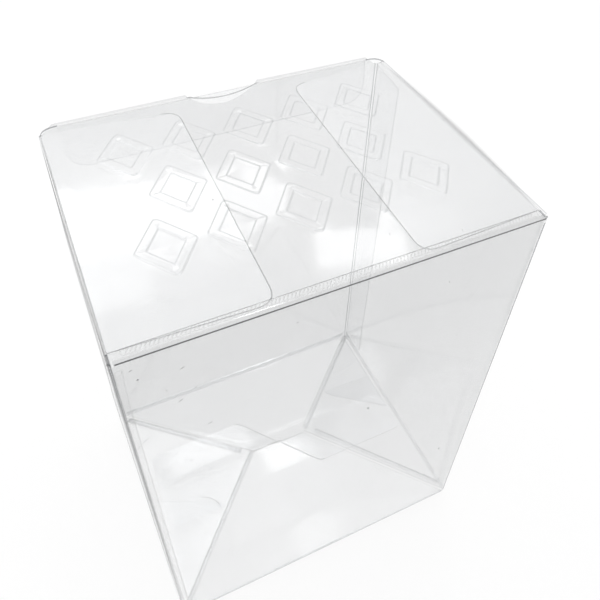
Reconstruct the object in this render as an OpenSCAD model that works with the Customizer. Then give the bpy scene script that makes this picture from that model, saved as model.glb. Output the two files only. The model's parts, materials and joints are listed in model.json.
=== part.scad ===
// Clear folding carton that protects a boxed figure.
// It is one die-cut sheet: four walls, a glued side seam, two dust flaps, a lid that tucks
// in at the back, and a self-locking bottom with two interlocking tongues.
// The origin is the middle of the base, the front is towards -Y, and sizes are millimetres.

/* [Carton] */
// Outside width, along the front
box_w = 116; // [100:1:140]
// Outside depth, front to back
box_d = 92; // [80:1:108]
// Outside height, from the resting edges to the top of the lid
box_h = 161; // [100:1:220]
// Thickness of the sheet
sheet = 0.5; // [0.35:0.05:0.7]
// Outside radius of a fold
fold_r = 0.9; // [0.8:0.05:1.4]

/* [Lid] */
// Clearance between the lid and the parts of the carton beside and under it
lid_gap = 0.3; // [0.2:0.05:0.5]
// Radius of the lid's two back corners
lid_corner_r = 5; // [2:0.5:8]
// Length of the tuck flap, down the inside of the back wall
tuck_len = 16; // [10:1:24]
// How far the ends of the tuck flap stand in from the sides of the lid
tuck_inset = 5.5; // [4:0.5:10]
// Radius of the tuck flap's lower corners
tuck_corner_r = 8; // [3:0.5:9]

/* [Thumb notch] */
// Width of the notch at the top edge of the back wall
notch_w = 25; // [16:1:32]
// Depth of the notch in its middle
notch_depth = 6; // [3:0.5:8]

/* [Dust flaps] */
// Length of a dust flap across the carton, in the middle of its free edge
dust_len = 38.3; // [25:0.1:45]
// How much longer one end of that free edge is than the other
dust_taper = 2; // [0:0.5:4]
// Distance from the front to the front edge of a dust flap
dust_front = 3.3; // [2.5:0.1:6]
// Distance from the back to the rear edge of a dust flap, which leaves room for the tuck flap
dust_back = 6.5; // [6.5:0.1:12]
// Radius of a dust flap's free corners
dust_corner_r = 5; // [2:0.5:10]
// How far the free edge of a dust flap hangs below its fold
dust_drop = 2; // [0.5:0.25:4]

/* [Side seam] */
// Width of the glued tab inside the right wall
seam_w = 14; // [10:0.5:18]
// How far the tab's ends slope back over its width
seam_slope = 5; // [3:0.5:8]
// Radius of the tab's free corners
seam_corner_r = 1.5; // [0.5:0.5:2]

/* [Bottom] */
// Height of the raised middle above the resting edges
bottom_rise = 10; // [6:0.5:14]
// How far a tongue reaches past the middle
tongue_reach = 15.5; // [10:0.5:20]
// Distance from the side wall to the outer edge of a tongue
tongue_side = 5; // [3:0.5:8]
// Distance from the carton's middle to where the tongue's slanted end starts
tongue_slant = 13; // [8:0.5:14]
// Radius of a tongue's outer corners
tongue_corner_r = 4; // [2:0.5:6]
// Distance from the wall's fold to where a tongue leaves its flap
tongue_root = 30; // [24:1:34]
// Half of the width over which the two tongues hook past each other
hook_half = 1; // [0.5:0.25:2]
// Width of the cut between a main flap and a side flap
flap_cut = 0.8; // [0.5:0.1:1.5]
// Length along the wall of the corner patch glued to a side flap
patch_len = 46; // [40:1:50]
// Radius of that patch's corner at the end of its fold
patch_corner_r = 5; // [2:0.5:8]

/* [Hidden] */
$fn = 96;
// How far sheets that are glued or folded together run into each other
lap = 0.3;
// Inside radius of a fold
fold_in = fold_r - sheet;
// Height of the walls' rim, on which the lid rests with its clearance
rim_z = box_h - sheet - lid_gap;
// The lid turns about the middle of its sheet, at the front wall
hinge_y = -box_d / 2 + sheet / 2;
hinge_z = box_h - sheet / 2;
// Reach of the lid from its hinge to the outside of its tuck fold
lid_reach = box_d / 2 - sheet - lid_gap - hinge_y;
lid_w = box_w - 2 * lid_gap;
tuck_w = lid_w - 2 * tuck_inset;
// The tuck flap leans in so that its lower edge stays within the reach of its fold
tuck_lean = asin((tuck_len / 2 + fold_r) / lid_reach);
// Circle through the two ends and the bottom of the thumb notch
notch_r = (pow(notch_w / 2, 2) + pow(notch_depth, 2)) / (2 * notch_depth);
dust_angle = asin(dust_drop / dust_len);
// All four bottom flaps slope alike, because the folds between them run at 45 degrees
bottom_run = box_d / 2;
bottom_angle = atan(bottom_rise / bottom_run);
// Steps in a rounded corner of a flap
corner_steps = 6;

// A corner at b, rounded between the edges towards a and c
function corner(a, b, c, r) =
    let(u = (a - b) / norm(a - b), v = (c - b) / norm(c - b), cut = r / tan(acos(u * v) / 2))
    r == 0 ? [b] : [
        for (i = [0:corner_steps])
            let(s = i / corner_steps) b + cut * (pow(1 - s, 2) * u + pow(s, 2) * v)
    ];

// An outline whose points are [x, y, radius]
function outline(p) = [
    for (i = [0:len(p) - 1])
        let(
            a = p[(i + len(p) - 1) % len(p)],
            c = p[(i + 1) % len(p)],
            flat = [for (q = [a, p[i], c]) [q[0], q[1]]]
        )
        each corner(flat[0], flat[1], flat[2], p[i][2])
];

// An outline drawn in plan, stretched along y to lie in the slope of the bottom
function sloped(p) = [for (q = p) [q[0], q[1] / cos(bottom_angle)]];

// Section of a fold about the origin, between two angles
module fold_section(from, to) {
    reach = 2 * fold_r;
    middle = (from + to) / 2;
    intersection() {
        difference() {
            circle(fold_r);
            circle(fold_in);
        }
        polygon([[0, 0], for (a = [from, middle, to]) reach * [cos(a), sin(a)]]);
    }
}

module rounded_rectangle(w, d, r) {
    square([w - 2 * r, d], center = true);
    square([w, d - 2 * r], center = true);
    for (x = [-1, 1], y = [-1, 1])
        translate([x * (w / 2 - r), y * (d / 2 - r)]) circle(r);
}

// Section of the four walls: bent at three corners, and lapped at the back right one
module wall_section() {
    seam_corner = [box_w / 2 - sheet - fold_r, box_d / 2 - fold_r];
    difference() {
        rounded_rectangle(box_w, box_d, fold_r);
        rounded_rectangle(box_w - 2 * sheet, box_d - 2 * sheet, fold_in);
        translate(seam_corner) square(4 * fold_r);
    }
    translate(seam_corner) fold_section(0, 90);
}

// Cuts the tops of the walls to their heights, and the thumb notch
module wall_cuts() {
    above = box_h;
    side_y = -box_d / 2 + dust_front;
    side_len = box_d - dust_front - dust_back;
    back_y = box_d / 2 - fold_r;
    // Front wall, side walls and corners, down to the rim
    translate([-box_w, -box_d, rim_z]) cube([2 * box_w, box_d + back_y, above]);
    for (side = [-1, 1])
        translate([side * box_w / 2 - fold_r, back_y - lap, rim_z]) cube([2 * fold_r, 4 * fold_r, above]);
    // Side walls where a dust flap starts
    for (side = [-1, 1])
        translate([side * box_w / 2 - fold_r, side_y, rim_z - fold_r])
            cube([2 * fold_r, side_len, above]);
    translate([0, back_y - fold_r, box_h - notch_depth + notch_r])
        rotate([-90, 0, 0]) cylinder(r = notch_r, h = 4 * fold_r);
}

module walls() {
    difference() {
        linear_extrude(box_h) wall_section();
        wall_cuts();
    }
}

// Glued tab of the side seam, on the inside of the right wall
module seam_tab() {
    start = box_d / 2 - fold_r;
    end = start - seam_w;
    points = outline([
        [start, 0, 0],
        [start, rim_z, 0],
        [end, rim_z - seam_slope, seam_corner_r],
        [end, seam_slope, seam_corner_r],
    ]);
    translate([box_w / 2 - 2 * sheet, 0, 0])
        rotate([90, 0, 90]) linear_extrude(sheet) polygon(points);
}

// Dust flap folded in from the left wall. The right one is the same, turned half round.
module dust_flap(front, back) {
    len_y = box_d - front - back;
    turn = dust_taper / 2;
    reach = dust_len - fold_r;
    points = outline([
        [-2 * fold_r, -lap, 0],
        [reach - turn, 0, dust_corner_r],
        [reach + turn, len_y, dust_corner_r],
        [-2 * fold_r, len_y + lap, 0],
    ]);
    translate([-box_w / 2 + fold_r, -box_d / 2 + front, rim_z - fold_r])
        intersection() {
            translate([0, len_y, 0]) rotate([90, 0, 0]) linear_extrude(len_y) {
                fold_section(90 - dust_angle, 180);
                rotate(-dust_angle) translate([0, fold_in]) square([dust_len + turn, sheet]);
            }
            translate([0, 0, -box_h / 2]) linear_extrude(box_h) polygon(points);
        }
}

// Main bottom flap, folded from the front wall: a slope up to the middle, and the tongue
// that runs on past it. Drawn in plan from the front left corner.
module main_flap() {
    middle = box_w / 2;
    end = bottom_run - lap;
    tongue_end = bottom_run + tongue_reach;
    points = outline([
        [-lap, 0, 0],
        [box_w - flap_cut - lap, 0, 0],
        [box_w - flap_cut - end, end, 0],
        [middle - hook_half, end, 0],
        [middle - hook_half, bottom_run + hook_half, 0],
        [middle - tongue_slant, tongue_end, tongue_corner_r],
        [tongue_side, tongue_end, tongue_corner_r],
        [tongue_side, tongue_root, tongue_corner_r / 2],
        [tongue_root, tongue_root, 0],
        [tongue_root - lap, tongue_root, 0],
    ]);
    translate([-box_w / 2, -box_d / 2, 0])
        rotate([bottom_angle, 0, 0]) linear_extrude(sheet) polygon(sloped(points));
}

// Side bottom flap, folded from the left wall, with the glued corner patch lying on it
module side_flap() {
    flap = outline([
        [-lap, 0, 0],
        [bottom_run - lap, bottom_run, 0],
        [box_d - flap_cut - lap, 0, 0],
    ]);
    patch = outline([
        [tongue_side / 2 - lap, tongue_side / 2, 0],
        [tongue_root - lap, tongue_root, patch_corner_r],
        [patch_len, tongue_side / 2, 0],
    ]);
    translate([-box_w / 2, -box_d / 2, 0]) rotate([0, 0, 90]) mirror([0, 1, 0])
        rotate([bottom_angle, 0, 0]) {
            linear_extrude(sheet) polygon(sloped(flap));
            linear_extrude(2 * sheet) polygon(sloped(patch));
        }
}

// Two main flaps and two side flaps, the second pair like the first but turned half round.
// They end in the thickness of the walls that they are folded from.
module bottom() {
    intersection() {
        for (half = [0, 180])
            rotate([0, 0, half]) {
                main_flap();
                side_flap();
            }
        linear_extrude(box_h) rounded_rectangle(box_w - sheet, box_d - sheet, fold_r - sheet / 2);
    }
}

// One folded sheet, all but the lid
module body() {
    color("gainsboro") union() {
        walls();
        seam_tab();
        dust_flap(dust_front, dust_back);
        rotate([0, 0, 180]) dust_flap(dust_back, dust_front);
        bottom();
    }
}

// Lid panel: a rounded front edge at its fold, and two rounded back corners
module lid_panel() {
    panel_end = lid_reach - fold_r;
    x = lid_w / 2;
    points = outline([
        [-x, 0, 0],
        [x, 0, 0],
        [x, panel_end, lid_corner_r],
        [-x, panel_end, lid_corner_r],
    ]);
    translate([0, 0, -sheet / 2]) linear_extrude(sheet) polygon(points);
    translate([-x, 0, 0]) rotate([0, 90, 0]) cylinder(d = sheet, h = lid_w, $fn = 32);
}

// Tuck flap, bent down from the back of the lid
module tuck_flap() {
    x = tuck_w / 2;
    points = outline([
        [-x, 0, 0],
        [x, 0, 0],
        [x, tuck_len - fold_r, tuck_corner_r],
        [-x, tuck_len - fold_r, tuck_corner_r],
    ]);
    translate([0, lid_reach - fold_r, sheet / 2 - fold_r]) {
        translate([-x, 0, 0])
            rotate([90, 0, 90]) linear_extrude(tuck_w) fold_section(-tuck_lean, 90);
        rotate([-90 - tuck_lean, 0, 0])
            translate([0, 0, fold_in]) linear_extrude(sheet) polygon(points);
    }
}

module lid() {
    color("whitesmoke") translate([0, hinge_y, hinge_z]) union() {
        lid_panel();
        tuck_flap();
    }
}

body();
lid();
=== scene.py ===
import itertools
import json
import math

import bmesh
import bpy
import numpy as np
from mathutils import Matrix, Vector, noise
from mathutils.geometry import delaunay_2d_cdt


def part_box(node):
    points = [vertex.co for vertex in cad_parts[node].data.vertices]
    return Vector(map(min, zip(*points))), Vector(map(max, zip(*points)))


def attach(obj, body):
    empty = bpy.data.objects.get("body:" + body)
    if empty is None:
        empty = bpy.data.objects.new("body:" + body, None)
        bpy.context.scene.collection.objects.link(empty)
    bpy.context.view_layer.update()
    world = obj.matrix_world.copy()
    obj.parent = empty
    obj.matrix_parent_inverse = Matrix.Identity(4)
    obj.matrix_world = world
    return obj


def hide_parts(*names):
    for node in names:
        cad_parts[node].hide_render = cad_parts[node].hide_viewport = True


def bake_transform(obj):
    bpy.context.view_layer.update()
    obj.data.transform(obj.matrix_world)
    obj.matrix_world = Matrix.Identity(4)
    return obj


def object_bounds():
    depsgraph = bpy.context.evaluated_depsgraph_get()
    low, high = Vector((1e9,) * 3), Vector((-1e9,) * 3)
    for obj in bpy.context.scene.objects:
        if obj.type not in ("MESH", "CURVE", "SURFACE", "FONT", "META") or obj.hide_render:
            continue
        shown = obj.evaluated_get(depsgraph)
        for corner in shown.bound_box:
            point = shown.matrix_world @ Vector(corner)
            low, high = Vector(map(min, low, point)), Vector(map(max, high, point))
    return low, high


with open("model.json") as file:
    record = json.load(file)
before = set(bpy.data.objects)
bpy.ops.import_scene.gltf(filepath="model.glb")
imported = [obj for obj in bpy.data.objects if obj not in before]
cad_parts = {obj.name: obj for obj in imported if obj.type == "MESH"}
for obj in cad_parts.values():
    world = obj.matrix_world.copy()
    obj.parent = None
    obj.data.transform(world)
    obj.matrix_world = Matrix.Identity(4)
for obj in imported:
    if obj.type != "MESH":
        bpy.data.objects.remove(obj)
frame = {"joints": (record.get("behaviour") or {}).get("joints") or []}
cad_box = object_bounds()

# A clear folding carton that protects a boxed figure. Shapes are worked out in millimetres in the
# part's frame: the origin is the middle of the base, and the front is towards -Y.
MM = 0.001

# Sizes from the frame
LOW, HIGH = (np.array(corner) / MM for corner in cad_box)
WIDTH, DEPTH, HEIGHT = HIGH - LOW
HALF_W, HALF_D = WIDTH / 2, DEPTH / 2
LID_HALF, LID_BACK = (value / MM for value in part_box("lid")[1][:2])
HINGE_Y = frame["joints"][0]["pos_m"][1] / MM

# Sizes that repeat the part's source
SHEET = 0.5
FOLD_R = 0.9
LID_GAP = 0.3
RIM_Z = HEIGHT - SHEET - LID_GAP
LID_CORNER_R = 5
TUCK_LEN = 16
TUCK_INSET = 5.5
TUCK_CORNER_R = 8
NOTCH_W = 25
NOTCH_DEPTH = 6
DUST_LEN = 38.3
DUST_TAPER = 2
DUST_FRONT = 3.3
DUST_CORNER_R = 5
DUST_DROP = 2
SEAM_W = 14
SEAM_SLOPE = 5
SEAM_CORNER_R = 1.5
BOTTOM_RISE = 10
TONGUE_REACH = 15.5
TONGUE_SIDE = 5
TONGUE_SLANT = 13
TONGUE_CORNER_R = 4
TONGUE_ROOT = 30
HOOK_HALF = 1
FLAP_CUT = 0.8
PATCH_LEN = 46
PATCH_CORNER_R = 5

# The dust flaps end nearer the back wall than the source's, as the photograph shows them
DUST_BACK = 3.6
# The walls' corners stay below the lid at the back
CORNER_DROP = 2.5
CORNER_RUN = 4
# The front wall ends where the strip of the front fold starts
FOLD_STRIP = 0.7
FRONT_TOP = HEIGHT - FOLD_R - FOLD_STRIP

# How far the walls bulge outwards, as a folded film does: the right wall more towards its top
BULGE_RIGHT = 2.45
BULGE_RIGHT_POWER = 1.5
BULGE_FRONT = 0.5
BULGE_BACK = 0.5
# The back wall stands off the lid's fold, close to its top
BULGE_TOP = 0.4
BULGE_TOP_POWER = 8
# The left wall bows outwards at its front fold, and keeps a share of that at its top
BOW_LEFT = 1.05
BOW_SIDE_POWER = 4
BOW_RISE_POWER = 0.55
BOW_TOP_RUN = 14
BOW_TOP_SHARE = 0.4
# The free edges of both dust flaps lie further to the right, as the bulged walls hold them
FLAP_SHIFT = 2.5
# The bottom's long flaps level out over this distance from the middle
LEVEL_RUN = 9

# Slow waves of the film, and their places in the noise
WAVE_HEIGHT = 0.16
WAVE_LENGTH = 55
WAVE_SHIFT = (7.3, 3.1, 5.7)
WALL_WAVES, BOTTOM_WAVES, LID_WAVES = 1, 2, 6
BOTTOM_WAVE_SHARE = 0.6
# They start from nothing at the front and the back, and are at full height this far in
HELD_RUN = 12
# The side walls have waves as high as this far in
HELD_START = 6

# Spacing of the points over a flat stretch, and how far they keep from an inner outline
GRID = 5.5
LOOP_CLEAR = 0.8
# Steps round a fold, a corner, the front fold, a lozenge's corner and the notch
FOLD_STEPS = 6
CORNER_STEPS = 6
FRONT_FOLD_STEPS = 8
LOZENGE_STEPS = 5
NOTCH_STEPS = 24
# How near a point counts as on an edge, how far an edge's look reaches past a corner, and how far
# from a point its normal is measured
NEAR = 0.1
EDGE_MARGIN = 2
NORMAL_REACH = 0.04

# Raised pattern on the lid: rows of plain lozenges, each a raised ring
LOZENGE_HALF = (8.5, 11.5)
LOZENGE_ROWS = ((5, -20), (4, 0), (5, 20))
LOZENGE_STEP = 18.6
LOZENGE_CENTRE_Y = 2.75
LOZENGE_STROKE = 3.1
LOZENGE_SLOPE = 0.6
LOZENGE_RISE = 0.16
LOZENGE_CORNER_R = 1.6
LOZENGE_LEAST_R = 0.5

# The front fold's dark line, painted shade, starts a little in from the left corner
FRONT_FOLD_START = -56.9
FRONT_LINE = (-0.34, 0.17)
# The painted shade of an upright fold, a darker film, covers its middle third
FOLD_MARGIN = 1 / 3
# A painted highlight covers this much of the back wall's top, where the lid's fold leans on it
BACK_CATCH = 1.2
# The left dust flap's look starts this far below its fold
LEFT_LOOK_DROP = 0.4

# Soft-creased strips beside the folds: two fine ridges with slanted ticks between them
STRIP_W = 1.5
STRIP_END = 2.5
STRIP_END_STEPS = 8
STRIP_GAP = 0.2
WALL_STRIP_GAP = 0.3
TICK_PITCH = 1.0
TICK_SLANT = 0.7
TICK_INSET = 0.24
RIDGE_W = 0.3
RIDGE_H = 0.045

# Fine lines, and soft creases drawn as bands of painted shade: widths, heights and places
LINE_H = 0.02
LINE_POINTS = 40
LID_LINE_W = 0.2
FLAP_LINE_W = 0.3
FLAP_LINE_INSET = 0.18
FLAP_LINE_SHARE = 0.7
CORNER_LINE_W = 0.7
CORNER_LINE_SHIFT = 0.15
CORNER_LINE_Z = 2
CORNER_LINE_DROP = 1
ARC_W = 0.45
ARC_H = 0.03
ARC_SAG = 2.4
ARC_SHARE = 0.55
ARC_POINTS = 25
CREASE_H = 0.01
CREASE_WIDTHS = (2.2, 1.1)
CREASE_INSET = 1.5
CREASE_POINTS = 12
BASE_LINE_Z = 1.6
BASE_LINE_END = 0.5
BASE_LINE_WIDTHS = (3.0, 2.4, 1.8, 1.2, 0.6)
BASE_LINE_POINTS = 24

# Specks of dust on the front wall: x, z, and how far each reaches
DUST_W = 0.2
DUST = (
    (38.5, 137.6, 0.4, 0.1), (37.3, 120.5, 0.3, 0.5), (-15.1, 152.9, 0.5, 0.2),
    (-53.9, 156.2, 0.6, 0.3), (-49.1, 151.3, 0.3, 0.1), (-43.2, 150.9, 0.9, 0.5),
    (-44.8, 138.7, 1.0, 0.7), (-40.8, 142.1, 0.6, 0.2), (-38.9, 124.7, 1.1, 0.2),
    (22.5, 128.3, 0.3, 0.2),
)
# Scratches on the left bottom flap, in its own plan
SCRATCH_W = 0.22
SCRATCHES = (
    [(37.2, 19.9), (36.6, 21.6), (35.4, 23.2), (33.4, 24.7), (31.2, 25.6), (29.6, 25.6)],
    [(74.5, 7.6), (73.2, 4.4), (71.6, 1.4)],
    [(56.5, 9.5), (57.4, 8.6)],
)

# Film: its refraction, the most that it mirrors, and how dark it turns where seen edge-on
FILM_IOR = 1.57
MIRROR_MOST = 0.4
EDGE_ON_POWER = 60
EDGE_ON_COLOUR = (0.05, 0.05, 0.055, 1)
WHITE = (1, 1, 1, 1)
NEAR_WHITE = (0.95, 0.95, 0.95, 1)
# Handling haze makes the gloss and the tint a little uneven
HAZE_SCALE, HAZE_DETAIL = 38, 4
HAZE_RANGE = (0.45, 0.75)
HAZE_ROUGHNESS = 0.09
HAZE_TINT = 0.97
# Fine unevenness of the film's surface
RIPPLE_SCALE, RIPPLE_DETAIL = 120, 2
RIPPLE_STRENGTH, RIPPLE_DEPTH_M = 0.03, 0.0004
# Dust on the film: cells, the size of a speck in its cell, which cells have one, and its colour
SPECK_CELLS = 62
SPECK_SIZE = 0.022
SPECK_ABOVE = 0.55
SPECK_COLOUR = (0.22, 0.22, 0.23, 1)
# Places in MATERIALS
(CLEAR_SHADED, LID, FLAP, EDGE, SOFT_EDGE, HIDDEN, FOLD_SHADE, FRONT_FOLD_SHADE, BACK_FOLD_HIGHLIGHT, RELIEF_SHADE, RIDGE_AND_HIGHLIGHT, LINE,
 CREASE_SHADE) = range(13)

# Light that the world gives, and how much of the floor's look is plain white
WORLD_LIGHT = 0.78
FLOOR_WHITE = 0.84
FLOOR_SIZE_M, FLOOR_DROP_M = 8, 0.0002
# Many sheets lie behind each other
SHEETS_SEEN = 64
# Lamps: place and size in metres, brightness, and turn in degrees. The band is the white one on
# the lid, and the overhead one whitens the bottom flaps.
LAMPS = (
    ("softbox_band", (0.09, 0.95, 1.0), (0.64, 0.22), 1.5, -7),
    ("softbox_band_end", (-0.10, 0.785, 1.0), (0.32, 0.11), 0.8, -8),
    ("softbox_spot", (0.478, 0.68, 1.0), (0.195, 0.10), 1.7, -20),
    ("softbox_overhead", (0.28, 0.15, 1.5), (1.1, 1.0), 1.4, 0),
    ("softbox_left", (-0.60, 0.80, 1.5), (0.8, 0.8), 1.9, 0),
    ("softbox_far", (0.60, 1.90, 1.6), (1.9, 1.5), 0.08, 0),
    ("softbox_tongue", (0.13, 0.80, 1.48), (0.24, 0.14), 3.2, 0),
    ("softbox_glint", (0.295, 0.335, 1.46), (0.11, 0.66), 4.5, 0),
)

# Camera, fitted to the corners of the carton in the photograph
CAMERA_AT = (-57.75, -133.66, 275.23)
CAMERA_HEADING = 27.313
CAMERA_PITCH = -44.245
CAMERA_ROLL = 2.732
CAMERA_NEAR_M = 0.01
SENSOR_W = 36
FOCAL_PX = 658.9
FRAME_PX = 600
CENTRE_PX = (311, 240)


# Outlines

def smooth(share):
    """A share from 0 to 1 with soft ends."""
    return share ** 2 * (3 - 2 * share)


def rounded(points, steps=CORNER_STEPS):
    """An outline from (x, y, radius) points."""
    outline = []
    for i, (x, y, radius) in enumerate(points):
        here = np.array([x, y], float)
        if not radius:
            outline.append(here)
            continue
        before = np.array(points[i - 1][:2], float) - here
        after = np.array(points[(i + 1) % len(points)][:2], float) - here
        before /= np.linalg.norm(before)
        after /= np.linalg.norm(after)
        cut = radius / math.tan(math.acos(before @ after) / 2)
        for step in range(steps + 1):
            t = step / steps
            outline.append(here + cut * ((1 - t) ** 2 * before + t ** 2 * after))
    return np.array(outline)


def is_inside(points, outline):
    """Whether each point lies inside a closed outline."""
    x, y = points[:, 0], points[:, 1]
    result = np.zeros(len(points), bool)
    for (ax, ay), (bx, by) in zip(outline, np.roll(outline, -1, axis=0)):
        if ay == by:
            continue
        crosses = (ay > y) != (by > y)
        result ^= crosses & (x < (bx - ax) * (y - ay) / (by - ay) + ax)
    return result


def distance_to(points, outline):
    """Each point's distance to a closed outline."""
    best = np.full(len(points), np.inf)
    for a, b in zip(outline, np.roll(outline, -1, axis=0)):
        along = b - a
        length = along @ along
        if length == 0:
            continue
        t = np.clip((points - a) @ along / length, 0, 1)
        best = np.minimum(best, np.linalg.norm(points - a - t[:, None] * along, axis=1))
    return best


def grid_points(outline):
    """Points on a grid inside an outline, clear of its edge."""
    low, high = outline.min(0), outline.max(0)
    counts = np.maximum(np.round((high - low) / GRID).astype(int), 1)
    axes = [np.linspace(low[i], high[i], counts[i] + 1)[1:-1] for i in (0, 1)]
    points = np.array([(u, v) for u in axes[0] for v in axes[1]], float).reshape(-1, 2)
    if not len(points):
        return points
    keep = is_inside(points, outline)
    return points[keep & (distance_to(points, outline) > GRID / 3)]


def triangulate(outline, lines=(), loops=()):
    """Points and triangles inside an outline. Lines are pairs of points that edges follow, loops
    are closed outlines that edges follow, and grid points keep clear of the loops."""
    points = [tuple(p) for p in outline]
    edges = [(i, (i + 1) % len(points)) for i in range(len(points))]
    face = list(range(len(points)))
    for a, b in lines:
        edges.append((len(points), len(points) + 1))
        points += [tuple(a), tuple(b)]
    spare = grid_points(outline)
    for loop in loops:
        first = len(points)
        points += [tuple(p) for p in loop]
        edges += [(first + i, first + (i + 1) % len(loop)) for i in range(len(loop))]
        spare = spare[distance_to(spare, loop) > LOOP_CLEAR]
    points += [tuple(p) for p in spare]
    out = delaunay_2d_cdt([Vector(p) for p in points], edges, [face], 0, 1e-5)
    flat = np.array([tuple(v) for v in out[0]], float)
    triangles = np.array([f for f in out[2] if len(f) == 3], int)
    triangles = triangles[is_inside(flat[triangles].mean(1), outline)]
    used = np.unique(triangles)
    renumber = np.full(len(flat), -1)
    renumber[used] = np.arange(len(used))
    return flat[used], renumber[triangles]


# Meshes

def make_object(name, points, faces, materials, corner_normals=None):
    """A mesh object in metres. materials has one entry for each face, and corner_normals one
    for each corner of each face."""
    mesh = bpy.data.meshes.new(name)
    mesh.from_pydata([tuple(p * MM) for p in points], [], [tuple(int(i) for i in f) for f in faces])
    for material in MATERIALS:
        mesh.materials.append(material)
    mesh.polygons.foreach_set("material_index", np.array(materials, np.int32))
    mesh.polygons.foreach_set("use_smooth", np.ones(len(faces), bool))
    mesh.update()
    if corner_normals is not None:
        mesh.normals_split_custom_set([tuple(n) for n in corner_normals])
    piece = bpy.data.objects.new(name, mesh)
    bpy.context.scene.collection.objects.link(piece)
    return piece


def true_normals(place, u, v):
    """Normals of the surface itself, waves and raised pattern included."""
    along = place(u + NORMAL_REACH, v)[0] - place(u - NORMAL_REACH, v)[0]
    across = place(u, v + NORMAL_REACH)[0] - place(u, v - NORMAL_REACH)[0]
    normal = np.cross(along, across)
    normal /= np.linalg.norm(normal, axis=1)[:, None]
    wrong = np.einsum("ij,ij->i", normal, place(u, v)[1]) < 0
    normal[wrong] *= -1
    return normal


def film(name, flat, triangles, place, region, edge):
    """A sheet with thickness over flat triangles. place gives the outer side's points and
    normals, region gives each triangle's material, and edge gives the material of the cut edge
    at a flat point."""
    outer, normal = place(*flat.T)
    inner = outer - normal * SHEET
    shading = true_normals(place, *flat.T)
    a, b, c = (outer[triangles[:, i]] for i in range(3))
    facing = np.einsum("ij,ij->i", np.cross(b - a, c - a), normal[triangles[:, 0]])
    if np.median(facing) < 0:
        triangles = triangles[:, ::-1]
    count = len(outer)
    points = np.vstack([outer, inner])
    faces = [tuple(t) for t in triangles] + [tuple(t[::-1] + count) for t in triangles]
    corners = [shading[i] for t in triangles for i in t]
    corners += [-shading[i] for t in triangles for i in t[::-1]]
    materials = list(region) * 2
    directed = {(int(t[i]), int(t[(i + 1) % 3])) for t in triangles for i in range(3)}
    for a, b in sorted(directed):
        if (b, a) in directed:
            continue
        quad = (b, a, a + count, b + count)
        side = np.cross(points[quad[1]] - points[quad[0]], points[quad[3]] - points[quad[0]])
        side /= max(np.linalg.norm(side), 1e-9)
        faces.append(quad)
        corners += [side] * 4
        materials.append(edge(*flat[[a, b]].mean(0)))
    return make_object(name, points, faces, materials, corners)


def ridges(name, paths, place, widths=(RIDGE_W,), height=RIDGE_H, material=RIDGE_AND_HIGHLIGHT):
    """Fine raised ridges along open paths on a surface, one inside the other for each width."""
    points, faces = [], []
    sink = -RIDGE_H / 3
    for path, (level, width) in itertools.product(paths, enumerate(widths, 1)):
        path = np.array(path, float)
        along = np.gradient(path, axis=0)
        along /= np.linalg.norm(along, axis=1)[:, None]
        across = np.stack([-along[:, 1], along[:, 0]], 1) * width / 2
        sides = []
        for shift, lift in ((-1, sink), (0, level * height), (1, sink)):
            where, normal = place(*(path + shift * across).T)
            sides.append(where + normal * lift)
        first = len(points)
        for station in zip(*sides):
            points += list(station)
        for i in range(len(path) - 1):
            here = first + 3 * i
            for k in range(3):
                n = (k + 1) % 3
                faces.append((here + k, here + n, here + 3 + n, here + 3 + k))
        last = first + 3 * (len(path) - 1)
        faces.append((first + 2, first + 1, first))
        faces.append((last, last + 1, last + 2))
    piece = make_object(name, np.array(points), faces, [material] * len(faces))
    turn_faces_outwards(piece)
    return piece


def turn_faces_outwards(piece):
    """Turns every face of closed shapes outwards."""
    build = bmesh.new()
    build.from_mesh(piece.data)
    bmesh.ops.recalc_face_normals(build, faces=build.faces)
    build.to_mesh(piece.data)
    build.free()


def waves(points, seed):
    """The film's slow waves at points of the part."""
    shift = Vector([seed * step for step in WAVE_SHIFT])
    return np.array([noise.noise(Vector(p) / WAVE_LENGTH + shift) for p in points]) * WAVE_HEIGHT


# The walls as one flat blank: u runs round the carton from the right wall's free end, v goes up

QUARTER = FOLD_R * math.pi / 2
FLAT_X = HALF_W - FOLD_R
FLAT_Y = HALF_D - FOLD_R
SEAM_X = HALF_W - SHEET
DUST_Z = RIM_Z - FOLD_R
DUST_TURN = math.pi / 2 + math.asin(DUST_DROP / DUST_LEN)
DUST_ARC = FOLD_R * DUST_TURN


def perimeter():
    """The stretches of the blank, each (start, length, shape), and the blank's length. A line's
    shape has its two ends and its normal, and an arc's has its centre and two angles."""
    shapes = [
        ("line", (HALF_W, FLAT_Y), (HALF_W, -FLAT_Y), (1, 0)),
        ("arc", (FLAT_X, -FLAT_Y), 0, -math.pi / 2),
        ("line", (FLAT_X, -HALF_D), (-FLAT_X, -HALF_D), (0, -1)),
        ("arc", (-FLAT_X, -FLAT_Y), -math.pi / 2, -math.pi),
        ("line", (-HALF_W, -FLAT_Y), (-HALF_W, FLAT_Y), (-1, 0)),
        ("arc", (-FLAT_X, FLAT_Y), math.pi, math.pi / 2),
        ("line", (-FLAT_X, HALF_D), (SEAM_X - FOLD_R, HALF_D), (0, 1)),
        ("arc", (SEAM_X - FOLD_R, FLAT_Y), math.pi / 2, 0),
        ("line", (SEAM_X, FLAT_Y), (SEAM_X, FLAT_Y - SEAM_W), (1, 0)),
    ]
    start, stretches = 0.0, []
    for shape in shapes:
        length = math.dist(shape[1], shape[2]) if shape[0] == "line" else QUARTER
        stretches.append((start, length, shape))
        start += length
    return stretches, start


PERIMETER, BLANK_LEN = perimeter()
RIGHT, _, FRONT, _, LEFT, _, BACK, _, TAB = PERIMETER
# Each dust flap: its wall, and how far it ends from the wall's first and last corner
RIGHT_FLAP = (RIGHT, DUST_BACK, DUST_FRONT)
LEFT_FLAP = (LEFT, DUST_FRONT, DUST_BACK)


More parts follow.
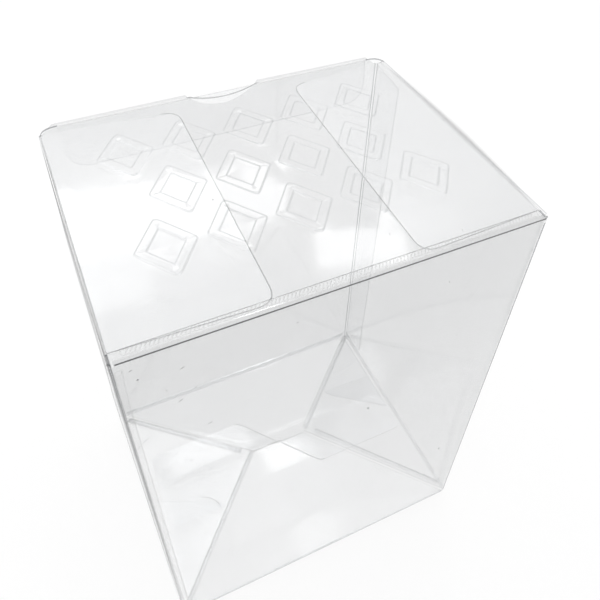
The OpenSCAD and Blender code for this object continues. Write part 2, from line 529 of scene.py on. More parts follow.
def bulge(x, y, z, nx, ny):
    """How far a wall's point lies outside its plane."""
    height = np.clip(z / HEIGHT, 0, 1)
    side = np.clip(1 - (y / FLAT_Y) ** 2, 0, 1) * height ** BULGE_RIGHT_POWER
    face = np.clip(1 - (x / FLAT_X) ** 2, 0, 1)
    middle = np.sin(math.pi * height)
    front = BULGE_FRONT * face * middle
    back = face * (BULGE_BACK * middle + BULGE_TOP * height ** BULGE_TOP_POWER)
    out = np.where(nx > 0.5, BULGE_RIGHT * side, 0)
    return out + np.where(ny < -0.5, front, 0) + np.where(ny > 0.5, back, 0)


def bow(x, y, z):
    """How far the left side, its front fold included, lies outwards."""
    near_left = np.clip((HALF_W - x) / WIDTH, 0, 1) ** BOW_SIDE_POWER
    forward = smooth(np.clip((HALF_D - y) / HALF_D, 0, 1))
    below_top = np.clip((HEIGHT - z) / BOW_TOP_RUN, 0, 1)
    share = BOW_TOP_SHARE + (1 - BOW_TOP_SHARE) * below_top
    return BOW_LEFT * near_left * forward * share * np.clip(z / HEIGHT, 0, 1) ** BOW_RISE_POWER


def blank_at(u, v):
    """Outer points and normals of the walls, the glue tab and the dust flaps."""
    u = np.clip(u, 0, BLANK_LEN)
    x, y, nx, ny = (np.zeros(len(u)) for _ in range(4))
    has_flap = np.zeros(len(u), bool)
    for stretch in PERIMETER:
        start, length, shape = stretch
        here = (u >= start - 1e-6) & (u <= start + length + 1e-6)
        t = (u[here] - start) / length
        if shape[0] == "line":
            (ax, ay), (bx, by), (lx, ly) = shape[1:]
            x[here], y[here] = ax + (bx - ax) * t, ay + (by - ay) * t
            nx[here], ny[here] = lx, ly
            if stretch in (RIGHT, LEFT):
                has_flap[here] = True
        else:
            (cx, cy), a, b = shape[1:]
            angle = a + (b - a) * t
            x[here], y[here] = cx + FOLD_R * np.cos(angle), cy + FOLD_R * np.sin(angle)
            nx[here], ny[here] = np.cos(angle), np.sin(angle)
    # Above DUST_Z the dust flaps turn over their fold, then run inwards
    past = np.where(has_flap, np.maximum(v - DUST_Z, 0), 0)
    z = v - past
    turn = np.minimum(past / FOLD_R, DUST_TURN)
    run = np.maximum(past - DUST_ARC, 0)
    reach = np.clip(run / DUST_LEN, 0, 1)
    out = bulge(x, y, z, nx, ny) * (1 - reach ** 2)
    along = out + FOLD_R * (np.cos(turn) - 1) - run * np.sin(turn)
    bowed = x + nx * along - bow(x, y, z) * (1 - reach ** 2) + FLAP_SHIFT * reach
    points = [bowed, y + ny * along, z + FOLD_R * np.sin(turn) + run * np.cos(turn)]
    points = np.stack(points, 1)
    normals = np.stack([nx * np.cos(turn), ny * np.cos(turn), np.sin(turn)], 1)
    from_front = np.minimum(np.abs(HALF_D - np.abs(y)), HELD_RUN)
    from_side = np.minimum(np.abs(HALF_W - np.abs(x)) + past + HELD_START, HELD_RUN)
    held = from_front / HELD_RUN * from_side / HELD_RUN
    return points + normals * (waves(points, WALL_WAVES) * held)[:, None], normals


def flap_end(flap, inset=0):
    """The two corners of a dust flap's free end, in from its cut."""
    (start, length, _), first, last = flap
    low, high = start + first - FOLD_R + inset, start + length - last + FOLD_R - inset
    reach = DUST_Z + DUST_ARC + DUST_LEN - FOLD_R - inset
    skew = DUST_TAPER / 2
    return (low, reach - skew, DUST_CORNER_R), (high, reach + skew, DUST_CORNER_R)


def flap_outline(flap):
    """A dust flap's part of the blank's top edge."""
    low, high = flap_end(flap)
    up = [(low[0], RIM_Z, 0), (low[0], DUST_Z, 0), low]
    return up + [high, (high[0], DUST_Z, 0), (high[0], RIM_Z, 0)]


def notch_points():
    """The thumb notch in the back wall's top edge, as a circle's arc."""
    centre = BACK[0] + HALF_W - FOLD_R
    radius = ((NOTCH_W / 2) ** 2 + NOTCH_DEPTH ** 2) / (2 * NOTCH_DEPTH)
    half = math.asin(NOTCH_W / 2 / radius)
    for i in range(NOTCH_STEPS + 1):
        angle = -half + 2 * half * i / NOTCH_STEPS
        height = HEIGHT - NOTCH_DEPTH + radius * (1 - math.cos(angle))
        yield centre + radius * math.sin(angle), height, 0


def blank_outline():
    """The blank's top edge from the right wall to the glue tab, then back along the base."""
    front_end, back_end = FRONT[0] + FRONT[1], BACK[0] + BACK[1]
    low_rim = RIM_Z - CORNER_DROP
    return rounded([
        (0, low_rim, 0), *flap_outline(RIGHT_FLAP),
        (FRONT[0], RIM_Z, 0), (FRONT[0], FRONT_TOP, 0),
        (front_end, FRONT_TOP, 0), (front_end, RIM_Z, 0),
        *flap_outline(LEFT_FLAP), (LEFT[0] + LEFT[1], low_rim, 0),
        (BACK[0], low_rim, 0), (BACK[0] + CORNER_RUN, HEIGHT, CORNER_DROP), *notch_points(),
        (back_end - CORNER_RUN, HEIGHT, CORNER_DROP), (back_end, low_rim, 0),
        (TAB[0], low_rim, 0), (BLANK_LEN, RIM_Z - SEAM_SLOPE, SEAM_CORNER_R),
        (BLANK_LEN, SEAM_SLOPE, SEAM_CORNER_R), (TAB[0], 0, 0), (0, 0, 0),
    ])


def fold_lines(low, high):
    """Lines across the blank at the steps of the upright folds, and along the dust flaps' folds."""
    lines = []
    for start, length, shape in PERIMETER:
        if shape[0] == "arc":
            for i in range(FOLD_STEPS + 1):
                u = start + length * i / FOLD_STEPS
                lines.append(((u, low), (u, high)))
    for flap in (RIGHT_FLAP, LEFT_FLAP):
        first, last = (corner[0] for corner in flap_end(flap))
        for i in range(FOLD_STEPS + 1):
            v = DUST_Z + DUST_ARC * i / FOLD_STEPS
            lines.append(((first, v), (last, v)))
    return lines


def is_on(stretch, u, margin=0.0):
    """Whether u lies on a stretch of the blank, in from its ends by a share of its length."""
    start, length = stretch[:2]
    return (u > start + margin * length) & (u < start + length * (1 - margin))


def wall_edge(u, v):
    """The cut edge's look: hidden at the front fold, round the dust flaps and at the base, and
    soft in the back wall's notch, at its corners and round the glue tab."""
    if (is_on(FRONT, u) and v > RIM_Z - EDGE_MARGIN) or v > DUST_Z + DUST_ARC or v < NEAR:
        return HIDDEN
    below_top = is_on(BACK, u) and HEIGHT / 2 < v < HEIGHT - 2 * NEAR
    return SOFT_EDGE if below_top or u > TAB[0] else EDGE


def build_walls():
    """The four walls with the glue tab and the dust flaps."""
    flat, triangles = triangulate(blank_outline(), fold_lines(-1, RIM_Z))
    u, v = flat[triangles].mean(1).T
    # The walls take a film tinted darker than the lid's: part of that darkness is painted shade
    region = np.full(len(triangles), CLEAR_SHADED)
    for stretch in PERIMETER:
        if stretch[2][0] == "arc":
            # The middle of each upright fold takes the darker fold film: painted shade
            region[is_on(stretch, u, FOLD_MARGIN)] = FOLD_SHADE
    region[(is_on(RIGHT, u) | is_on(LEFT, u)) & (v > DUST_Z + DUST_ARC)] = FLAP
    region[is_on(TAB, u)] = LID
    region[is_on(LEFT, u) & (v > DUST_Z - LEFT_LOOK_DROP)] = FLAP
    # The back wall's top takes the part-white back fold film: painted highlight
    region[is_on(BACK, u) & (v > RIM_Z - BACK_CATCH)] = BACK_FOLD_HIGHLIGHT
    return film("carton_walls", flat, triangles, blank_at, region, wall_edge)


# The bottom: each flap is drawn in plan from a corner of the base and lies in a slope. The long
# flaps come from the front and back walls, the short ones from the sides.

SLOPE = BOTTOM_RISE / HALF_D
SLOPE_UP = 1 / math.hypot(1, SLOPE)


def slope_rise(v):
    """Height of the sloped long flaps, which level out towards the middle."""
    past = np.clip(v - (HALF_D - LEVEL_RUN), 0, LEVEL_RUN)
    return SLOPE * (np.minimum(v, HALF_D) - past ** 2 / (2 * LEVEL_RUN))


def raised(points, normal, lift, turned):
    """Points lifted along one normal, with the film's waves, and their normals."""
    normals = np.tile(normal, (len(points), 1))
    height = lift + waves(points, BOTTOM_WAVES + turned) * BOTTOM_WAVE_SHARE
    return points + normals * height[:, None], normals


def long_flap_at(turned, lift=SHEET):
    """Places the front flap, or turned half round, the back one."""
    sign = -1 if turned else 1

    def place(u, v):
        points = np.stack([sign * (u - HALF_W), sign * (v - HALF_D), slope_rise(v)], 1)
        return raised(points, np.array([0, -sign * SLOPE, 1]) * SLOPE_UP, lift, turned)

    return place


def short_flap_at(turned, lift=SHEET):
    """Places the left flap, or turned half round, the right one."""
    sign = -1 if turned else 1

    def place(u, v):
        rise = SLOPE * np.minimum(v, HALF_D)
        points = np.stack([sign * (v - HALF_W), sign * (u - HALF_D), rise], 1)
        return raised(points, np.array([-sign * SLOPE, 0, 1]) * SLOPE_UP, lift, turned)

    return place


def long_flap_edge(u, v):
    """The cut edge's look: dark at the free middle, and round the tongue a painted highlight in the
    whitened ridge film. Nearer the wall it is hidden on the glued half, and soft on the other."""
    if v < HALF_D - EDGE_MARGIN:
        return HIDDEN if u < HALF_W else SOFT_EDGE
    return EDGE if u > HALF_W - TONGUE_SLANT - EDGE_MARGIN else RIDGE_AND_HIGHLIGHT


def soft_edge(u, v):
    """A cut edge that is soft all round."""
    return SOFT_EDGE


def build_bottom():
    """The two long flaps, the two short ones, their glued corners and their creases."""
    start = SHEET / 2
    end = HALF_D - start
    tongue_end = HALF_D + TONGUE_REACH
    tip, cut_end = HALF_W - HOOK_HALF, WIDTH - FLAP_CUT
    long_flap = rounded([
        (start, start, 0), (cut_end - start, start, 0), (cut_end - end, end, 0),
        (tip, end, 0), (tip, HALF_D + HOOK_HALF, 0),
        (HALF_W - TONGUE_SLANT, tongue_end, TONGUE_CORNER_R),
        (TONGUE_SIDE, tongue_end, TONGUE_CORNER_R),
        (TONGUE_SIDE, TONGUE_ROOT, TONGUE_CORNER_R / 2), (TONGUE_ROOT, TONGUE_ROOT, 0),
    ])
    short_flap = rounded([
        (start, start, 0), (HALF_D, HALF_D, 0), (DEPTH - FLAP_CUT - start, start, 0),
    ])
    patch = rounded([
        (TONGUE_SIDE / 2, TONGUE_SIDE / 2, 0), (TONGUE_ROOT, TONGUE_ROOT, PATCH_CORNER_R),
        (PATCH_LEN, TONGUE_SIDE / 2, 0),
    ])
    # The short flaps' creases are drawn as soft bands of painted shade
    steps = np.linspace(CREASE_INSET, end, CREASE_POINTS)
    creases = [
        [(k, k) for k in steps],
        [(DEPTH - FLAP_CUT - CREASE_INSET - k, k) for k in steps[:-1]],
    ]
    pieces = []
    for turned, long_side, short_side in ((0, "front", "left"), (1, "back", "right")):
        # The left flap is the one that mirrors softly in the photograph
        short_look = LID if turned else FLAP
        shapes = (
            (f"bottom_{long_side}_flap", long_flap, long_flap_at(turned), LID, long_flap_edge),
            (f"bottom_{short_side}_flap", short_flap, short_flap_at(turned), short_look, soft_edge),
            (f"bottom_{short_side}_patch", patch, short_flap_at(turned, 2 * SHEET), LID, soft_edge),
        )
        for name, outline, place, look, edge in shapes:
            flat, triangles = triangulate(outline)
            pieces.append(film(name, flat, triangles, place, [look] * len(triangles), edge))
        above = short_flap_at(turned, 3 * SHEET)
        name = f"bottom_{short_side}_crease"
        pieces.append(ridges(name, creases, above, CREASE_WIDTHS, CREASE_H, CREASE_SHADE))
    return pieces


# The lid: u is across, v is the distance back from the hinge side, down over the back fold

LID_FOLD_V = LID_BACK - FOLD_R
TUCK_TURN = math.pi / 2 + math.asin((TUCK_LEN / 2 + FOLD_R) / (LID_BACK - HINGE_Y))
TUCK_ARC = FOLD_R * TUCK_TURN


def lozenge(x, y, inset):
    """A rounded lozenge about x, y, set in by a distance from its outer edge."""
    a, b = LOZENGE_HALF
    share = 1 - inset * math.hypot(a, b) / (a * b)
    radius = max(LOZENGE_CORNER_R - inset / 2, LOZENGE_LEAST_R)
    corners = [(a * share, 0), (0, b * share), (-a * share, 0), (0, -b * share)]
    return rounded([(x + cx, y + cy, radius) for cx, cy in corners], LOZENGE_STEPS)


def lozenge_centres():
    """The middle of each lozenge."""
    for count, row_y in LOZENGE_ROWS:
        for i in range(count):
            yield (i - (count - 1) / 2) * LOZENGE_STEP, row_y + LOZENGE_CENTRE_Y


LOZENGES = [lozenge(x, y, 0) for x, y in lozenge_centres()]


def relief(u, v):
    """Height of the raised pattern: every lozenge is a ring with soft sides."""
    points = np.stack([u, v], 1)
    height = np.zeros(len(points))
    for outline in LOZENGES:
        near = np.all(np.abs(points - outline.mean(0)) < np.max(LOZENGE_HALF) + 1, axis=1)
        if not near.any():
            continue
        depth = distance_to(points[near], outline)
        depth[~is_inside(points[near], outline)] *= -1
        up = np.clip(depth / LOZENGE_SLOPE, 0, 1)
        down = np.clip((LOZENGE_STROKE - depth) / LOZENGE_SLOPE, 0, 1)
        height[near] += LOZENGE_RISE * smooth(np.minimum(up, down))
    return height


def lid_at(u, v):
    """Outer points and normals of the lid and its tuck flap, from the distance back in y."""
    past = np.maximum(v - LID_FOLD_V, 0)
    turn = np.minimum(past / FOLD_R, TUCK_TURN)
    run = np.maximum(past - TUCK_ARC, 0)
    y = v - past + FOLD_R * np.sin(turn) + run * np.cos(turn)
    z = HEIGHT + FOLD_R * (np.cos(turn) - 1) - run * np.sin(turn)
    points = np.stack([u, y, z], 1)
    normals = np.stack([0 * u, np.sin(turn), np.cos(turn)], 1)
    held = np.minimum(HALF_D - np.abs(np.clip(v, -HALF_D, HALF_D)), HELD_RUN) / HELD_RUN
    lift = (waves(points, LID_WAVES) - WAVE_HEIGHT / 2) * held + relief(u, v)
    return points + normals * lift[:, None], normals


def lid_edge(u, v):
    """The cut edge's look: hidden at the front fold and on the left, soft on the tuck flap and
    on the right."""
    if v < -FLAT_Y + NEAR or u < -LID_HALF + NEAR:
        return HIDDEN
    return SOFT_EDGE if v > LID_FOLD_V + NEAR or u > LID_HALF - NEAR else EDGE


def build_lid():
    """The lid and its tuck flap, with the raised pattern."""
    tuck = LID_HALF - TUCK_INSET
    fold_end = LID_FOLD_V + TUCK_ARC
    tuck_end = fold_end + TUCK_LEN - FOLD_R
    outline = rounded([
        (-LID_HALF, -FLAT_Y, 0), (LID_HALF, -FLAT_Y, 0), (LID_HALF, LID_FOLD_V, LID_CORNER_R),
        (tuck, LID_FOLD_V, 0), (tuck, tuck_end, TUCK_CORNER_R), (-tuck, tuck_end, TUCK_CORNER_R),
        (-tuck, LID_FOLD_V, 0), (-LID_HALF, LID_FOLD_V, LID_CORNER_R),
    ])
    steps = [LID_FOLD_V + TUCK_ARC * i / FOLD_STEPS for i in range(FOLD_STEPS + 1)]
    lines = [((-tuck, v), (tuck, v)) for v in steps]
    # Each lozenge's outlines go up its outer slope, then down its inner one
    half = LOZENGE_SLOPE / 2
    inner = LOZENGE_STROKE - LOZENGE_SLOPE
    insets = (0, half, LOZENGE_SLOPE, inner, LOZENGE_STROKE - half, LOZENGE_STROKE)
    rings = [[lozenge(x, y, inset) for inset in insets] for x, y in lozenge_centres()]
    flat, triangles = triangulate(outline, lines, [loop for ring in rings for loop in ring])
    middle = flat[triangles].mean(1)
    region = np.full(len(triangles), LID)
    for ring in rings:
        # The slopes of each ring take a darker film: painted shade
        for outer_loop, inner_loop in ((ring[0], ring[2]), (ring[3], ring[5])):
            slope = is_inside(middle, outer_loop) & ~is_inside(middle, inner_loop)
            region[slope] = RELIEF_SHADE
    # The lid's back fold takes a part-white film: painted highlight
    region[(middle[:, 1] > LID_FOLD_V) & (middle[:, 1] < fold_end)] = BACK_FOLD_HIGHLIGHT
    region[middle[:, 1] > fold_end] = FLAP
    return film("lid_sheet", flat, triangles, lid_at, region, lid_edge)


# The fold between the front wall and the lid bends across the hinge

def fold_at(u, v):
    """v is the distance over the fold, from the front wall up and back along the lid."""
    turn = np.clip(v / FOLD_R, 0, math.pi / 2)
    past = np.maximum(v - QUARTER, 0)
    below = np.minimum(v, 0)
    y = -FLAT_Y - FOLD_R * np.cos(turn) + past
    z = HEIGHT - FOLD_R + FOLD_R * np.sin(turn) + below
    points = np.stack([u, y, z], 1)
    normals = np.stack([0 * u, -np.cos(turn), np.sin(turn)], 1)
    return points, normals


def hidden_edge(u, v):
    """A cut edge that doesn't show."""
    return HIDDEN


def build_front_fold():
    """The front fold with its dark line of painted shade, blended between the body and the lid."""
    low, high = -FOLD_STRIP, QUARTER
    outline = [(-FLAT_X, low), (FLAT_X, low), (FLAT_X, high), (-FLAT_X, high)]
    steps = [QUARTER * i / FRONT_FOLD_STEPS for i in range(FRONT_FOLD_STEPS)] + list(FRONT_LINE)
    lines = [((-FLAT_X, v), (FLAT_X, v)) for v in steps]
    lines.append(((FRONT_FOLD_START, low), (FRONT_FOLD_START, high)))
    flat, triangles = triangulate(np.array(outline, float), lines)
    u, v = flat[triangles].mean(1).T
    # The dark band along the fold is painted shade
    dark = (u > FRONT_FOLD_START) & (v > FRONT_LINE[0]) & (v < FRONT_LINE[1])
    region = np.where(dark, FRONT_FOLD_SHADE, CLEAR_SHADED)
    piece = film("front_fold", flat, triangles, fold_at, region, hidden_edge)
    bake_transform(piece)
    return piece


# Soft-creased strips, fine lines and small marks

def strip_paths(low, high, near, far):
    """Paths for a strip along u, between v = near and v = far: a rim with rounded ends, and
    slanted ticks."""
    half = (far - near) / 2
    end = abs(half)
    middle = (far + near) / 2
    us = np.linspace(low + end, high - end, max(int((high - low) / GRID), 2))
    angles = np.linspace(0, math.pi, STRIP_END_STEPS + 1)[1:-1]
    rim = [(u, far) for u in us]
    rim += [(us[-1] + end * math.sin(a), middle + half * math.cos(a)) for a in angles]
    rim += [(u, near) for u in us[::-1]]
    rim += [(us[0] - end * math.sin(a), middle - half * math.cos(a)) for a in angles]
    rim.append(rim[0])
    ticks = []
    u = low + end + TICK_SLANT
    inset = TICK_INSET * np.sign(half)
    while u < high - end - TICK_SLANT:
        ticks.append([(u - TICK_SLANT / 2, near + inset), (u + TICK_SLANT / 2, far - inset)])
        u += TICK_PITCH
    return [rim] + ticks


def swapped(place):
    """The same surface with u and v exchanged."""
    return lambda u, v: place(v, u)


def notch_arc():
    """A shallow dark arc on the tuck flap where it shows in the notch."""
    half = NOTCH_W / 2
    radius = (half ** 2 + ARC_SAG ** 2) / (2 * ARC_SAG)
    top = LID_FOLD_V + TUCK_ARC * ARC_SHARE
    us = np.linspace(-half, half, ARC_POINTS)
    return [(u, top + math.sqrt(radius ** 2 - u ** 2) - (radius - ARC_SAG)) for u in us]


def flap_line(flap):
    """The free edge of a dust flap, just in from its cut."""
    low, high = flap_end(flap, FLAP_LINE_INSET)
    root = DUST_Z + DUST_ARC
    line = rounded([(low[0], root, 0), low, high, (high[0], root, 0)])
    # The back edge of the flap hardly shows
    back = (low if flap is RIGHT_FLAP else high)[0]
    shown = root + FLAP_LINE_SHARE * DUST_LEN
    return [p for p in line if p[1] > shown or abs(p[0] - back) > NEAR]


def build_lines():
    """Strips beside the folds and fine lines along edges, each with its body."""
    low, high = -LID_HALF + STRIP_END, LID_HALF - STRIP_END
    near = -FLAT_Y + STRIP_GAP
    far = near + STRIP_W
    lid_strip = ridges("lid_crease_strip", strip_paths(low, high, near, far), lid_at)
    path = [(u, far + STRIP_GAP) for u in np.linspace(low, high, LINE_POINTS)]
    lid_line = ridges("lid_crease_line", [path], lid_at, (LID_LINE_W,), LINE_H, LINE)
    arc = ridges("notch_arc", [notch_arc()], lid_at, (ARC_W,), ARC_H, LINE)
    # The strips along the front left corner lie on the front wall and on the left wall
    paths = []
    for near, side in ((FRONT[0] + FRONT[1] - WALL_STRIP_GAP, -1), (LEFT[0] + WALL_STRIP_GAP, 1)):
        paths += strip_paths(STRIP_END, RIM_Z - STRIP_END, near, near + side * STRIP_W)
    wall_strip = ridges("wall_crease_strip", paths, swapped(blank_at))
    paths = [flap_line(RIGHT_FLAP), flap_line(LEFT_FLAP)]
    flap_lines = ridges("flap_edge_lines", paths, blank_at, (FLAP_LINE_W,), LINE_H, LINE)
    # Soft bands of painted shade along the bottom folds
    paths = []
    for start, length, _ in (FRONT, LEFT, BACK, RIGHT):
        first, last = start + BASE_LINE_END, start + length - BASE_LINE_END
        paths.append([(u, BASE_LINE_Z) for u in np.linspace(first, last, BASE_LINE_POINTS)])
    base = ridges("bottom_fold_lines", paths, blank_at, BASE_LINE_WIDTHS, CREASE_H, CREASE_SHADE)
    on_lid = [(piece, "lid") for piece in (lid_strip, lid_line, arc)]
    return on_lid + [(piece, "body") for piece in (wall_strip, flap_lines, base)]


def front_place(x, z):
    """The front wall's place in the blank."""
    return FRONT[0] + FLAT_X - x, z


def build_marks():
    """A line of painted shade along the front right fold, and the photograph's dust and scratches.
    """
    u = FRONT[0] - CORNER_LINE_SHIFT
    top = FRONT_TOP - CORNER_LINE_DROP
    path = [(u, v) for v in np.linspace(CORNER_LINE_Z, top, LINE_POINTS)]
    corner = ridges("corner_fold_line", [path], blank_at, (CORNER_LINE_W,), LINE_H, FOLD_SHADE)
    paths = [[front_place(x, z), front_place(x + dx, z + dz)] for x, z, dx, dz in DUST]
    dust = ridges("wall_dust", paths, blank_at, (DUST_W,), LINE_H, EDGE)
    above = short_flap_at(0, 4 * SHEET)
    scratches = ridges("flap_scratches", SCRATCHES, above, (SCRATCH_W,), LINE_H, LINE)
    return [(piece, "body") for piece in (corner, dust, scratches)]


# Materials

def new_material(name):
    """An empty material and its node tree."""
    material = bpy.data.materials.new(name)
    material.use_nodes = True
    material.node_tree.nodes.clear()
    return material, material.node_tree


def add(tree, kind, inputs, **settings):
    """A new node. Each of its inputs takes a value or another node's output."""
    node = tree.nodes.new(kind)
    for setting, value in settings.items():
        setattr(node, setting, value)
    for key, value in inputs.items():
        if isinstance(value, bpy.types.NodeSocket):
            tree.links.new(value, node.inputs[key])
        else:
            node.inputs[key].default_value = value
    return node


def math_node(tree, operation, first, second):
    """The result of a calculation with two values."""
    return add(tree, "ShaderNodeMath", {0: first, 1: second}, operation=operation).outputs[0]


def mix_colours(tree, share, first, second):
    """A colour between two."""
    inputs = {"Factor": share, "A": first, "B": second}
    return add(tree, "ShaderNodeMix", inputs, data_type="RGBA").outputs["Result"]


def mix_shaders(tree, share, first, second):
    """A surface between two."""
    return add(tree, "ShaderNodeMixShader", {0: share, 1: first, 2: second}).outputs[0]


def film_material(name, tint, speck=0.0, roughness=0.03, both_sides=False, white=0.0, ior=FILM_IOR):
    """Clear film: it lets light through with a tint for each sheet, and mirrors more at a slant.
    The far side of a sheet adds nothing, so that each sheet counts once. A cut edge or a crease
    counts from both sides, and white is a share of plain white: painted highlight on the back fold
    and round the bottom tongue's edge, and on the crease ridges their whitening, partly painted
    highlight."""
    material, tree = new_material(name)
    place = add(tree, "ShaderNodeTexCoord", {}).outputs["Object"]
    haze = add(tree, "ShaderNodeTexNoise", {
        "Vector": place, "Scale": HAZE_SCALE, "Detail": HAZE_DETAIL,
    }).outputs["Fac"]
    rough = add(tree, "ShaderNodeMapRange", {
        "Value": haze, "From Min": HAZE_RANGE[0], "From Max": HAZE_RANGE[1],
        "To Min": roughness, "To Max": roughness + HAZE_ROUGHNESS,
    }).outputs["Result"]
    ripple = add(tree, "ShaderNodeTexNoise", {
        "Vector": place, "Scale": RIPPLE_SCALE, "Detail": RIPPLE_DETAIL,
    }).outputs["Fac"]
    bump = add(tree, "ShaderNodeBump", {
        "Height": ripple, "Strength": RIPPLE_STRENGTH, "Distance": RIPPLE_DEPTH_M,
    }).outputs["Normal"]
    # Seen along the sheet, a clear film turns dark
    facing = add(tree, "ShaderNodeLayerWeight", {"Blend": 0.5}).outputs["Facing"]
    edge_on = math_node(tree, "POWER", facing, EDGE_ON_POWER)
    shade = mix_colours(tree, haze, (*tint, 1), (*(HAZE_TINT * value for value in tint), 1))
    through = add(tree, "ShaderNodeBsdfTransparent", {
        "Color": mix_colours(tree, edge_on, shade, EDGE_ON_COLOUR),
    }).outputs[0]
    mirror = add(tree, "ShaderNodeBsdfGlossy", {
        "Color": mix_colours(tree, edge_on, WHITE, EDGE_ON_COLOUR),
        "Roughness": rough, "Normal": bump,
    }).outputs[0]
    # Both faces of the sheet mirror: together 2r / (1 + r) for a share r from one face
    one = add(tree, "ShaderNodeFresnel", {"IOR": ior}).outputs[0]
    twice = math_node(tree, "MULTIPLY", one, 2)
    both = math_node(tree, "DIVIDE", twice, math_node(tree, "ADD", one, 1))
    share = math_node(tree, "MINIMUM", both, MIRROR_MOST)
    surface = mix_shaders(tree, share, through, mirror)
    if speck:
        surface = specks(tree, place, surface, speck)
    if white:
        stress = add(tree, "ShaderNodeBsdfDiffuse", {"Color": NEAR_WHITE}).outputs[0]
        surface = mix_shaders(tree, white, surface, stress)
    behind_colour = (*tint, 1) if both_sides else WHITE
    behind = add(tree, "ShaderNodeBsdfTransparent", {"Color": behind_colour}).outputs[0]
    side = add(tree, "ShaderNodeNewGeometry", {}).outputs["Backfacing"]
    whole = mix_shaders(tree, side, surface, behind)
    add(tree, "ShaderNodeOutputMaterial", {"Surface": whole})
    return material


def specks(tree, place, under, strength):
    """A few specks of dust on the film."""
    cells = add(tree, "ShaderNodeTexVoronoi", {"Vector": place, "Scale": SPECK_CELLS})
    near = math_node(tree, "LESS_THAN", cells.outputs["Distance"], SPECK_SIZE)
    cell = add(tree, "ShaderNodeSeparateColor", {0: cells.outputs["Color"]}).outputs[0]
    some = math_node(tree, "GREATER_THAN", cell, SPECK_ABOVE)
    there = math_node(tree, "MULTIPLY", near, some)
    amount = math_node(tree, "MULTIPLY", there, strength)
    dust = add(tree, "ShaderNodeBsdfDiffuse", {"Color": SPECK_COLOUR}).outputs[0]
    return mix_shaders(tree, amount, under, dust)


MATERIALS = [
    # The walls' film is tinted darker than the lid's film; the extra darkness is painted shade
    film_material("clear_film_painted_shade", (0.832, 0.835, 0.838), speck=0.7),
    film_material("lid_film", (0.96, 0.963, 0.966), speck=0.5, roughness=0.06),
    film_material("flap_film", (0.992, 0.994, 0.996), roughness=0.2, ior=1.8),
    film_material("cut_edge", (0.40, 0.41, 0.42), roughness=0.1, both_sides=True),
    film_material("soft_cut_edge", (0.80, 0.805, 0.81), roughness=0.1, both_sides=True),
    film_material("hidden_edge", (0.985, 0.985, 0.985)),
    # The folds' darker film is painted shade
    film_material("fold", (0.58, 0.59, 0.60), roughness=0.06, both_sides=True),
    # Near black: the front fold's painted shade
    film_material("front_fold", (0.06, 0.06, 0.065), roughness=0.06),
    # Half plain white: a painted highlight on the back fold
    film_material("back_fold", (0.97, 0.97, 0.97), roughness=0.2, white=0.5),
    # Darker slopes of the raised pattern: painted shade
    film_material("relief_slope_painted_shade", (0.84, 0.845, 0.85)),
    # Part white: the crease ridges' whitening, partly painted highlight, and a painted highlight on
    # the tongue's edge
    film_material("crease_ridge_and_highlight", (0.93, 0.93, 0.93), roughness=0.15, white=0.18),
    film_material("thin_line", (0.60, 0.605, 0.61), roughness=0.1, both_sides=True),
    # Faintly darker creases, stacked into soft bands: painted shade
    film_material("soft_crease_painted_shade", (0.984, 0.986, 0.988), roughness=0.1, both_sides=True),
]


# Stage, light and camera

def seen_directly(tree):
    """1 for rays that show the background: from the camera, mirrored or let through."""
    rays = add(tree, "ShaderNodeLightPath", {}).outputs
    mirrored = math_node(tree, "MAXIMUM", rays["Is Glossy Ray"], rays["Is Transmission Ray"])
    return math_node(tree, "MAXIMUM", rays["Is Camera Ray"], mirrored)


def build_floor():
    """A plain pale floor, which keeps a little of the carton's shadow."""
    bpy.ops.mesh.primitive_plane_add(size=FLOOR_SIZE_M, location=(0, 0, -FLOOR_DROP_M))
    floor = bpy.context.object
    floor.name = "floor"
    material, tree = new_material("floor")
    paint = add(tree, "ShaderNodeBsdfDiffuse", {"Color": NEAR_WHITE}).outputs[0]
    white = add(tree, "ShaderNodeEmission", {}).outputs[0]
    share = math_node(tree, "MULTIPLY", seen_directly(tree), FLOOR_WHITE)
    look = mix_shaders(tree, share, paint, white)
    add(tree, "ShaderNodeOutputMaterial", {"Surface": look})
    floor.data.materials.append(material)


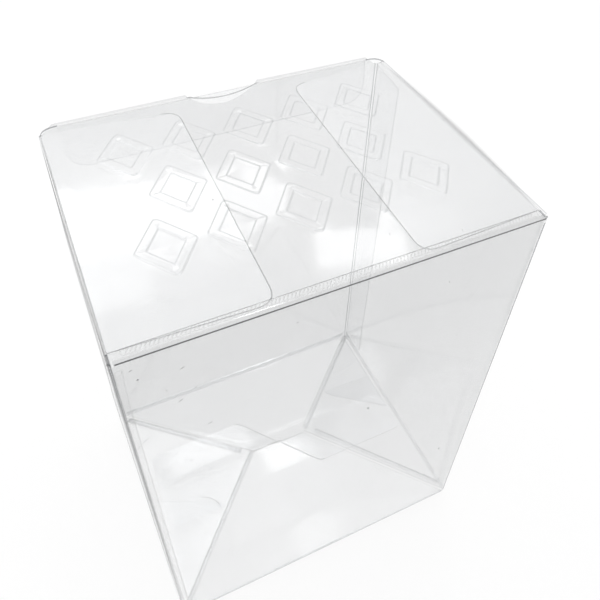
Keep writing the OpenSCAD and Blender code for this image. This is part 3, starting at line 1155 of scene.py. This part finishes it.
def build_world():
    """Even light from all round, and a white background."""
    world = bpy.data.worlds.new("studio")
    bpy.context.scene.world = world
    world.use_nodes = True
    tree = world.node_tree
    tree.nodes.clear()
    strength = add(tree, "ShaderNodeMapRange", {
        "Value": seen_directly(tree), "To Min": WORLD_LIGHT, "To Max": 1.0,
    }).outputs["Result"]
    light = add(tree, "ShaderNodeBackground", {"Color": WHITE, "Strength": strength}).outputs[0]
    add(tree, "ShaderNodeOutputWorld", {"Surface": light})


def build_lights():
    """Rectangular lamps that face down. The brightness is how bright a lamp's face looks."""
    for name, at, size, brightness, turn in LAMPS:
        lamp = bpy.data.lights.new(name, "AREA")
        lamp.shape = "RECTANGLE"
        lamp.size, lamp.size_y = size
        lamp.energy = brightness * math.pi * size[0] * size[1]
        holder = bpy.data.objects.new(name, lamp)
        holder.location = at
        holder.rotation_euler.z = math.radians(turn)
        bpy.context.scene.collection.objects.link(holder)


def build_camera():
    """The camera at the photograph's viewpoint."""
    camera = bpy.data.objects.new("camera", bpy.data.cameras.new("camera"))
    bpy.context.scene.collection.objects.link(camera)
    bpy.context.scene.camera = camera
    camera.location = Vector(CAMERA_AT) * MM
    heading, pitch, roll = (math.radians(a) for a in (CAMERA_HEADING, CAMERA_PITCH, CAMERA_ROLL))
    turn = Matrix.Rotation(-heading, 3, "Z") @ Matrix.Rotation(math.pi / 2 + pitch, 3, "X")
    camera.rotation_euler = (turn @ Matrix.Rotation(roll, 3, "Z")).to_euler()
    camera.data.sensor_width = SENSOR_W
    camera.data.lens = FOCAL_PX * SENSOR_W / FRAME_PX
    camera.data.shift_x = -(CENTRE_PX[0] - FRAME_PX / 2) / FRAME_PX
    camera.data.shift_y = (CENTRE_PX[1] - FRAME_PX / 2) / FRAME_PX
    camera.data.clip_start = CAMERA_NEAR_M


def build():
    """Every piece of the carton, each with its body."""
    walls = build_walls()
    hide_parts("body")
    body_pieces = [walls] + build_bottom()
    lid = build_lid()
    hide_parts("lid")
    fold = build_front_fold()
    lines = build_lines()
    riders = [(piece, "body") for piece in body_pieces] + [(lid, "lid")] + build_marks() + lines
    for piece, body in riders:
        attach(piece, body)


build()
build_floor()
build_world()
build_lights()
build_camera()
bpy.context.scene.view_settings.view_transform = "Standard"
bpy.context.scene.cycles.transparent_max_bounces = SHEETS_SEEN
